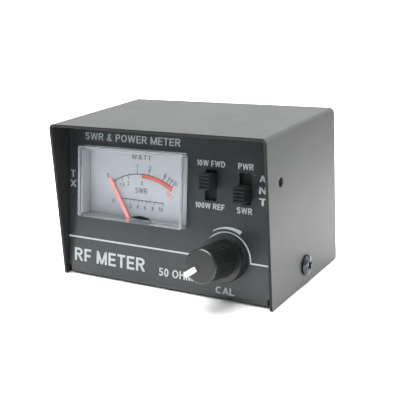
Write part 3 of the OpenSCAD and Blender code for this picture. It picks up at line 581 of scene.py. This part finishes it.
# ---------------------------------------------------------------- panel printing
P = dict(o=0.0, depth=0.035, material=PRINT)
label("print_title", "SWR & POWER METER", (-40.17, 57.99, 7.06, 60.98), o=0.0, depth=0.035, material=PRINT_SHADED, weight=0.155)
for ch, b in (("T", (-48.0, 41.6, -45.3, 44.6)), ("X", (-48.2, 37.5, -44.8, 40.4))):
    label("print_tx_" + ch, ch, b, o=0.0, depth=0.035, material=PRINT_SHADED, weight=0.155)
for i, (ch, b) in enumerate((("A", (41.9, 47.35, 44.6, 49.9)), ("N", (41.96, 42.9, 44.9, 45.5)), ("T", (42.0, 38.6, 45.2, 41.3)))):
    label("print_ant_%d" % i, ch, b, **P)
label("print_forward", "10W FWD", (14.75, 51.4, 27.2, 53.7), **P)
label("print_reflected", "100W REF", (14.5, 35.1, 27.5, 37.3), **P)
label("print_power", "PWR", (32.8, 51.3, 39.3, 53.7), **P)
label("print_swr", "SWR", (32.8, 34.7, 39.4, 37.1), **P)
label("print_cal", "CAL", (24.7, 2.6, 33.0, 5.3), gap=0.06, **P)
label("print_name", "RF METER", (-45.5, 5.9, -8.8, 11.4), **P)
label("print_ohms", "50 OHM", (-2.0, 5.5, 14.2, 8.8), **P)
line("print_line_left", -48.5, 16.2, 12.6, 16.2, 0.65, **P)
line("print_line_right", 39.3, 16.2, 47.1, 16.2, 0.6, **P)
arc("print_arc", 28.98, 16.42, 10.49, 0.5, 139.8, -0.5, **P)
N = 40
band("print_wedge", ring(29.97, 15.16, 13.84, 121.5, 66.8, N),
     [(x, s) for x, s in ring(28.71, 16.75, 11.4, 121.0, 59.9, N)], **P)

# ---------------------------------------------------------------- dial printing
D = dict(o=PLATE, depth=0.03, slot="dial")
LIGHT = dict(weight=0.13)
CX, CS = -13.13, 17.65
R = 27.62


def polar(a, r):
    return CX + r * math.cos(math.radians(a)), CS + r * math.sin(math.radians(a))


def tick(name, a, r0, r1, width, material=DIAL_BLACK, **kw):
    x0, s0 = polar(a, r0)
    x1, s1 = polar(a, r1)
    line(name, x0, s0, x1, s1, width, material=material, **D, **kw)


arc("dial_arc", CX, CS, R, 0.34, 124.0, 57.6, material=DIAL_BLACK, **D)
arc("dial_red_band", CX, CS, 26.66, 1.42, 89.6, 56.6, material=DIAL_RED, **D)
for i, (words, x, s, h, a) in enumerate((
        ("0", -30.3, 43.4, 1.9, 123.7), ("1", -15.6, 48.0, 2.0, 94.7), ("2", -9.2, 47.8, 2.1, 83.0),
        ("4", -1.9, 45.6, 2.0, 68.6), ("6", 0.35, 44.6, 1.7, 64.2), ("8", 1.6, 43.9, 1.6, 61.2),
        ("10", 3.2, 42.9, 1.7, 58.0))):
    w = h * (0.62 if len(words) == 1 else 1.2) * (0.45 if words == "1" else 1.0)
    label("dial_w_%s" % words, words, (x - w / 2, s - h / 2, x + w / 2, s + h / 2), material=DIAL_BLACK,
          spin=(a - 90) * 0.75, **LIGHT, **D)
    if i:
        tick("dial_w_tick_%s" % words, a, R, R + 1.5, 0.3)
for k, a in enumerate((110.5, 103.0, 88.0, 78.0, 73.2)):
    tick("dial_w_minor_%d" % k, a, R, R + 0.8, 0.22)
for words, x, s, a in (("1.5", -22.9, 40.1, 111.8), ("2", -19.9, 41.1, 104.8), ("3", -13.2, 41.6, 89.8)):
    h = 1.7
    w = h * (0.62 if len(words) == 1 else 1.35)
    label("dial_s_" + words, words, (x - w / 2, s - h / 2, x + w / 2, s + h / 2), material=DIAL_BLACK,
          spin=(a - 90) * 0.6, **LIGHT, **D)
    tick("dial_s_tick_" + words, a, R - 1.6, R, 0.3)
for k, a in enumerate((118.5, 115.0)):
    tick("dial_s_minor_%d" % k, a, R - 0.9, R, 0.22)
label("dial_swr", "SWR", (-16.3, 37.4, -10.3, 39.6), material=DIAL_BLACK, **LIGHT, **D)
label("dial_watt", "WATT", (-18.4, 51.2, -8.6, 53.1), material=DIAL_BLACK, gap=0.22, **LIGHT, **D)
label("dial_set", "SET", (-1.5, 36.9, 2.4, 38.6), material=DIAL_RED, spin=-42, **LIGHT, **D)
line("dial_line", -24.3, 34.57, -2.3, 34.42, 0.32, material=DIAL_BLACK, **D)
for k in range(11):
    x = -22.9 + 2.04 * k
    line("dial_r_tick_%d" % k, x, 34.5, x, 33.2 if k % 2 == 0 else 33.7, 0.24, material=DIAL_BLACK, **D)
for words, x, s in (("0", -27.4, 33.0), ("2", -18.6, 31.6), ("4", -15.0, 31.65), ("6", -11.2, 31.7),
                    ("8", -7.5, 31.75), ("10", -3.6, 31.8)):
    h = 1.75
    w = h * (0.62 if len(words) == 1 else 1.2)
    label("dial_r_" + words, words, (x - w / 2, s - h / 2, x + w / 2, s + h / 2), material=DIAL_BLACK,
          **LIGHT, **D)

# ---------------------------------------------------------------- rear sockets with their threads cut
def socket(name, sx, node):
    """Flange and barrel with a 24 per inch thread cut into it, notched at the mouth."""
    cx, y0, cz = sx * 27.0, 29.2, 27.0
    pitch, crest, root = 25.4 / 24, 7.93, 7.32

    def at(r, a, y):
        return Vector((cx + r * math.cos(a), y0 + y, cz + r * math.sin(a))) * MM

    # barrel: columns round the axis, each with the height of its mouth
    tall, low = 15.68, 14.6
    notch = [math.radians(v) for v in (45, 135, 225, 315)]
    half = 0.8 / 7.6
    cols = []
    for i in range(96):
        a = 2 * math.pi * i / 96
        d = min(abs((a - n + math.pi) % (2 * math.pi) - math.pi) for n in notch)
        if d > half + 0.02:
            cols.append((a, tall))
        elif d < half - 0.02:
            cols.append((a, low))
    for n in notch:
        cols += [(n - half - 1e-4, tall), (n - half + 1e-4, low), (n + half - 1e-4, low), (n + half + 1e-4, tall)]
    cols.sort()
    rows = 112
    verts, faces = [], []
    for a, top in cols:
        for k in range(rows + 1):
            y = 1.2 + (top - 1.2) * k / rows
            ph = ((y - 3.4) / pitch - a / (2 * math.pi)) % 1.0
            v = abs(ph - 0.5) * 2            # 0 in the groove, 1 at the crest
            cut = min(1.0, max(0.0, (v - 0.12) / 0.72))
            r = root + (crest - root) * cut
            if y < 3.2:
                r = root - 0.1
            elif y < 3.6:
                r = root - 0.1 + (r - root + 0.1) * (y - 3.2) / 0.4
            if y > 15.0:
                r = min(r, crest - (y - 15.0) * 0.85)
            verts.append(at(r, a, y))
        verts.append(at(6.35, a, top))
        verts.append(at(6.35, a, 7.0))
        verts.append(at(6.1, a, 7.0))
        verts.append(at(6.1, a, 1.2))
    step = rows + 5
    for i in range(len(cols)):
        j = (i + 1) % len(cols)
        for k in range(step):
            l = (k + 1) % step
            faces.append((i * step + k, i * step + l, j * step + l, j * step + k))
    # flange with rounded corners, a hole for the insulator and four for the screws
    loops = []
    outer = []
    for qx, qz, a0 in ((1, 1, 0), (-1, 1, 90), (-1, -1, 180), (1, -1, 270)):
        for k in range(7):
            a = math.radians(a0 + 15 * k)
            outer.append((qx * 11.5 + 1.2 * math.cos(a), qz * 11.5 + 1.2 * math.sin(a)))
    loops.append(outer)
    loops.append([(6.1 * math.cos(2 * math.pi * k / 64), 6.1 * math.sin(2 * math.pi * k / 64)) for k in range(64)])
    for hx in (-9.1, 9.1):
        for hz in (-9.1, 9.1):
            loops.append([(hx + 1.65 * math.cos(2 * math.pi * k / 28), hz + 1.65 * math.sin(2 * math.pi * k / 28)) for k in range(28)])
    flat = [p for lp in loops for p in lp]
    tris = tessellate_polygon([[Vector((u, v, 0)) for u, v in lp] for lp in loops])
    base = len(verts)
    m_ = len(flat)
    for y in (0.02, 1.6):
        verts += [Vector((cx + u, y0 + y, cz + v)) * MM for u, v in flat]
    for t in tris:
        faces.append((base + t[0], base + t[1], base + t[2]))
        faces.append((base + m_ + t[2], base + m_ + t[1], base + m_ + t[0]))
    k0 = 0
    for lp in loops:
        n = len(lp)
        for k in range(n):
            l = (k + 1) % n
            faces.append((base + k0 + k, base + k0 + l, base + m_ + k0 + l, base + m_ + k0 + k))
        k0 += n
    ob = add_mesh(name, verts, faces, MATS["nickel"], "case", smooth=True)
    b_ = bmesh.new()
    b_.from_mesh(ob.data)
    bmesh.ops.recalc_face_normals(b_, faces=b_.faces)
    b_.to_mesh(ob.data)
    b_.free()
    finish_mesh(ob)
    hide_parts(node)
    return ob


socket("tx_socket_threaded", -1, "tx_socket")
socket("ant_socket_threaded", 1, "ant_socket")

# ---------------------------------------------------------------- glass lets the light straight through
frame["nodes"]["meter_window"].visible_shadow = False
frame["nodes"]["meter_window"].visible_diffuse = False

# ---------------------------------------------------------------- floor and light
def area(name, loc, target, size, size_y, power, color=(1, 1, 1)):
    li = bpy.data.lights.new(name, "AREA")
    li.shape = "RECTANGLE"
    li.size, li.size_y = size, size_y
    li.energy = power
    li.color = color
    ob = bpy.data.objects.new(name, li)
    scene.collection.objects.link(ob)
    ob.location = loc
    ob.rotation_mode = "QUATERNION"
    ob.rotation_quaternion = (Vector(target) - Vector(loc)).to_track_quat("-Z", "Y")
    return ob


me = bpy.data.meshes.new("floor")
me.from_pydata([(-0.8, -0.32, 0), (0.8, -0.32, 0), (0.8, -0.02, 0), (0.122, -0.02, 0), (0.122, 0.8, 0), (-0.8, 0.8, 0)], [],
               [(0, 1, 2, 3), (0, 3, 4, 5)])
floor = bpy.data.objects.new("floor", me)
scene.collection.objects.link(floor)
floor.location = (0, 0, -0.0004)
fm = Mat("floor_white")
fm.color(fm.ramp(fm.noise(6, 3), [(0.3, (0.88, 0.88, 0.875)), (0.7, (0.92, 0.92, 0.91))]))
fm.rough(fm.remap(fm.noise(9, 3), 0.75, 0.85))
me.materials.append(fm.m)

area("key_top", (-0.08, 0.0, 1.25), (0.0, 0.0, 0.0), 1.4, 1.2, 53)
area("right_back", (0.95, 0.75, 0.55), (0.0, 0.0, 0.02), 0.8, 0.8, 4)
area("front_fill", (-0.25, -0.75, 0.9), (0.0, -0.05, 0.0), 0.9, 0.7, 1.5)

# white to the camera; as a light, a tent that is bright above and behind and darker in front
world = bpy.data.worlds.new("studio")
scene.world = world
world.use_nodes = True
wt = world.node_tree
wt.nodes.clear()
wo = wt.nodes.new("ShaderNodeOutputWorld")
white = wt.nodes.new("ShaderNodeBackground")
white.inputs[0].default_value = (1.0, 1.0, 1.0, 1)
white.inputs[1].default_value = 1.05
tent = wt.nodes.new("ShaderNodeBackground")
tent.inputs[1].default_value = 1.0
tc = wt.nodes.new("ShaderNodeTexCoord")
dot = wt.nodes.new("ShaderNodeVectorMath")
dot.operation = "DOT_PRODUCT"
dot.inputs[1].default_value = Vector((0.35, 0.75, 0.55)).normalized()
half = wt.nodes.new("ShaderNodeMath")
half.operation = "MULTIPLY_ADD"
half.inputs[1].default_value = 0.5
half.inputs[2].default_value = 0.5
ramp = wt.nodes.new("ShaderNodeValToRGB")
e = ramp.color_ramp.elements
e[0].position, e[0].color = 0.05, (0.06, 0.085, 0.10, 1)
e[1].position, e[1].color = 1.0, (0.95, 0.95, 0.95, 1)
x = e.new(0.35)
x.color = (0.44, 0.47, 0.485, 1)
x = e.new(0.6)
x.color = (0.74, 0.75, 0.755, 1)
path = wt.nodes.new("ShaderNodeLightPath")
mix = wt.nodes.new("ShaderNodeMixShader")
wt.links.new(tc.outputs["Generated"], dot.inputs[0])
wt.links.new(dot.outputs["Value"], half.inputs[0])
wt.links.new(half.outputs[0], ramp.inputs[0])
wt.links.new(ramp.outputs[0], tent.inputs[0])
wt.links.new(path.outputs["Is Camera Ray"], mix.inputs[0])
wt.links.new(tent.outputs[0], mix.inputs[1])
wt.links.new(white.outputs[0], mix.inputs[2])
wt.links.new(mix.outputs[0], wo.inputs[0])

scene.view_settings.view_transform = "Standard"
scene.view_settings.look = "None"
scene.view_settings.exposure = 0.0
scene.view_settings.gamma = 1.0

# ---------------------------------------------------------------- camera
AZ, EL, ROLL = math.radians(32.322), math.radians(16.382), math.radians(-3.430)
back = Vector((math.sin(AZ) * math.cos(EL), -math.cos(AZ) * math.cos(EL), math.sin(EL)))
fwd = -back
right = fwd.cross(Vector((0, 0, 1))).normalized()
up = right.cross(fwd)
r2 = right * math.cos(ROLL) + up * math.sin(ROLL)
u2 = -right * math.sin(ROLL) + up * math.cos(ROLL)
cam = bpy.data.cameras.new("camera")
cam.lens = 73.96
cam.sensor_width = 36.0
cam.clip_start = 0.02
cam.clip_end = 20
cam_ob = bpy.data.objects.new("camera", cam)
scene.collection.objects.link(cam_ob)
m = Matrix((r2, u2, back)).transposed().to_4x4()
m.translation = Vector((0.179002, -0.279896, 0.126898))
cam_ob.matrix_world = m
scene.camera = cam_ob
